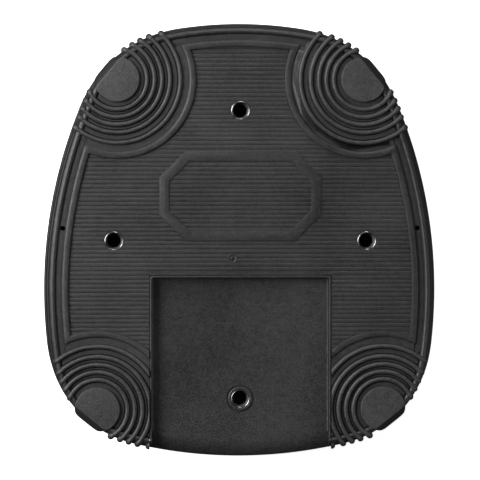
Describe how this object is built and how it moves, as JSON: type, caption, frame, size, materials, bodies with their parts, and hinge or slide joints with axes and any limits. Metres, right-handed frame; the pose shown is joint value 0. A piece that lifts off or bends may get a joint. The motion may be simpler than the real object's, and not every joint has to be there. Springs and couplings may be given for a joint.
{
  "type": "kick target head",
  "caption": "Padded kick target head seen from its ribbed rear: moulded shell, corner bumpers, threaded inserts, open-ended grip pocket and an upholstered strike pad.",
  "frame": {"origin": "centre of the footprint, on the plane of the strike face it lies on", "axes": "+Z out of the rear face, +Y away from the grip pocket's open end, +X to the right seen from behind"},
  "size_m": [0.2728, 0.3014, 0.0446],
  "materials": {
    "shell_rubber": "hard moulded rubber-filled nylon, charcoal black, fine matte grain",
    "bumper_rubber": "soft moulded rubber, charcoal black, fine matte grain",
    "insert_steel": "zinc-plated steel, turned",
    "board_wood": "birch plywood, raw",
    "filler_foam": "soft open-cell foam, dark grey",
    "core_foam": "firm closed-cell foam, black",
    "face_foam": "soft closed-cell foam, grey",
    "cover_leather": "grained synthetic leather, black"
  },
  "bodies": {
    "root": {"rear_shell": "shell_rubber", "grip_tray": "shell_rubber", "corner_bumper_upper_left": "bumper_rubber", "corner_bumper_upper_right": "bumper_rubber", "corner_bumper_lower_left": "bumper_rubber", "corner_bumper_lower_right": "bumper_rubber", "threaded_insert_top": "insert_steel", "threaded_insert_left": "insert_steel", "threaded_insert_right": "insert_steel", "threaded_insert_bottom": "insert_steel", "insert_washers": "insert_steel", "insert_nuts": "insert_steel", "stiffener_board": "board_wood", "filler_foam": "filler_foam", "core_foam": "core_foam", "face_foam": "face_foam", "face_panel": "cover_leather", "side_gusset": "cover_leather", "seam_piping": "cover_leather", "cover_staples": "insert_steel"}
  },
  "joints": []
}
